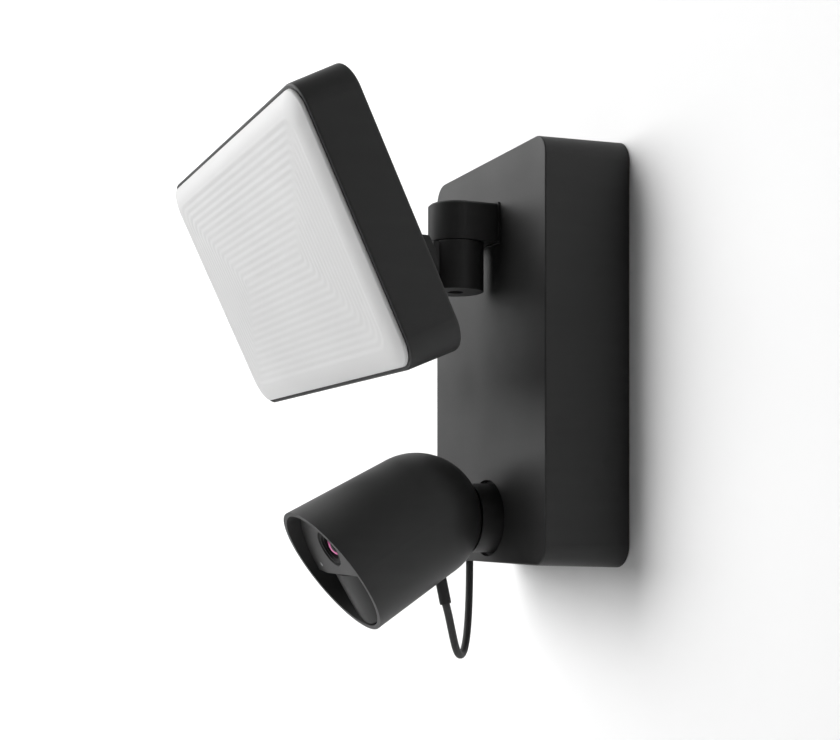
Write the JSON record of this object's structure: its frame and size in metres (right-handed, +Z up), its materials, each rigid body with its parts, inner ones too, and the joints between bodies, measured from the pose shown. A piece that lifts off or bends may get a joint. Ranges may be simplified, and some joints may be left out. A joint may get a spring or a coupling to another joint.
{
  "type": "floodlight security camera",
  "caption": "Wall-mounted security floodlight: a rectangular lamp on a pan and tilt knuckle above a bullet camera on a magnetic swivel neck, both on a flat wall box.",
  "frame": {"origin": "centre of the wall box's rear face, in the plane of the wall", "axes": "+Z up, -Y out of the wall towards the viewer, +X to the right of someone facing the unit"},
  "size_m": [0.2316, 0.2034, 0.2877],
  "materials": {
    "case_plastic": "fine satin grain, charcoal",
    "dark_plastic": "matte",
    "rubber_black": "matte",
    "zinc_steel": "zinc plated",
    "magnet_nickel": "nickel plated",
    "diffuser_white": "opal, soft sheen",
    "white_plastic": "matte white",
    "aluminium": "as cast",
    "board_white": "white solder mask",
    "board_green": "solder mask",
    "component_dark": "moulded",
    "washer_nylon": "natural nylon",
    "fascia_plastic": "fine matte, dark grey",
    "pir_plastic": "smoked, satin",
    "lens_glass": "coated glass",
    "light_pipe": "clear light pipe"
  },
  "bodies": {
    "wall_unit": {"arm_base": "case_plastic", "arm_base_screw_left": "zinc_steel", "arm_base_screw_right": "zinc_steel", "arm_gasket": "rubber_black", "box_shell": "case_plastic", "cable_grommet": "rubber_black", "cable_wall_half": "rubber_black", "capacitor_main": "component_dark", "capacitor_small": "component_dark", "fixing_screw_left": "zinc_steel", "fixing_screw_right": "zinc_steel", "heat_sink": "aluminium", "neck_socket": "dark_plastic", "pan_bolt": "zinc_steel", "power_board": "board_green", "radio_board": "board_green", "rear_plate": "dark_plastic", "spring_washer": "zinc_steel", "terminal_block": "dark_plastic", "transformer": "component_dark", "wall_bracket": "zinc_steel", "wall_seal": "rubber_black"},
    "knuckle": {"pan_knuckle": "case_plastic", "pan_washer": "dark_plastic", "tilt_pin": "zinc_steel", "tilt_washer_left": "washer_nylon", "tilt_washer_right": "washer_nylon"},
    "lamp": {"lamp_housing": "case_plastic", "diffuser": "diffuser_white", "lamp_seal": "rubber_black", "reflector_frame": "white_plastic", "led_board": "board_white", "led_array": "board_white", "heat_spreader": "aluminium", "lamp_arm": "case_plastic", "lamp_arm_screw_1": "zinc_steel", "lamp_arm_screw_2": "zinc_steel", "lamp_arm_screw_3": "zinc_steel", "lamp_arm_screw_4": "zinc_steel"},
    "neck": {"neck_collar": "case_plastic", "neck_magnet": "magnet_nickel", "cup_pad": "rubber_black", "neck_retainer": "dark_plastic"},
    "camera": {"camera_shell": "case_plastic", "fascia": "fascia_plastic", "pir_lens": "pir_plastic", "lens_barrel": "dark_plastic", "lens_glass": "lens_glass", "status_light": "light_pipe", "sensor_board": "board_green", "main_board": "board_green", "inner_chassis": "dark_plastic", "speaker": "dark_plastic", "pir_sensor": "zinc_steel", "steel_pole_plate": "zinc_steel", "cable_socket": "zinc_steel", "cable_plug": "rubber_black", "cable_camera_half": "rubber_black"}
  },
  "joints": [
    {"name": "lamp_pan", "type": "hinge", "parent": "wall_unit", "child": "knuckle", "pos_m": [0, -0.069, 0.065], "axis": [0, 0, 1], "range_deg": [-35, 35]},
    {"name": "lamp_tilt", "type": "hinge", "parent": "knuckle", "child": "lamp", "pos_m": [0, -0.098, 0.052], "axis": [1, 0, 0], "range_deg": [-25, 18]},
    {"name": "neck_swivel", "type": "hinge", "parent": "wall_unit", "child": "neck", "pos_m": [0, -0.05, -0.08775], "axis": [0, 1, 0], "range_deg": [-45, 45], "deforming": ["cable_wall_half"]},
    {"name": "camera_tilt", "type": "hinge", "parent": "neck", "child": "camera", "pos_m": [0, -0.0931, -0.08775], "axis": [1, 0, 0], "range_deg": [-30, 20], "deforming": ["cable_camera_half"]}
  ]
}
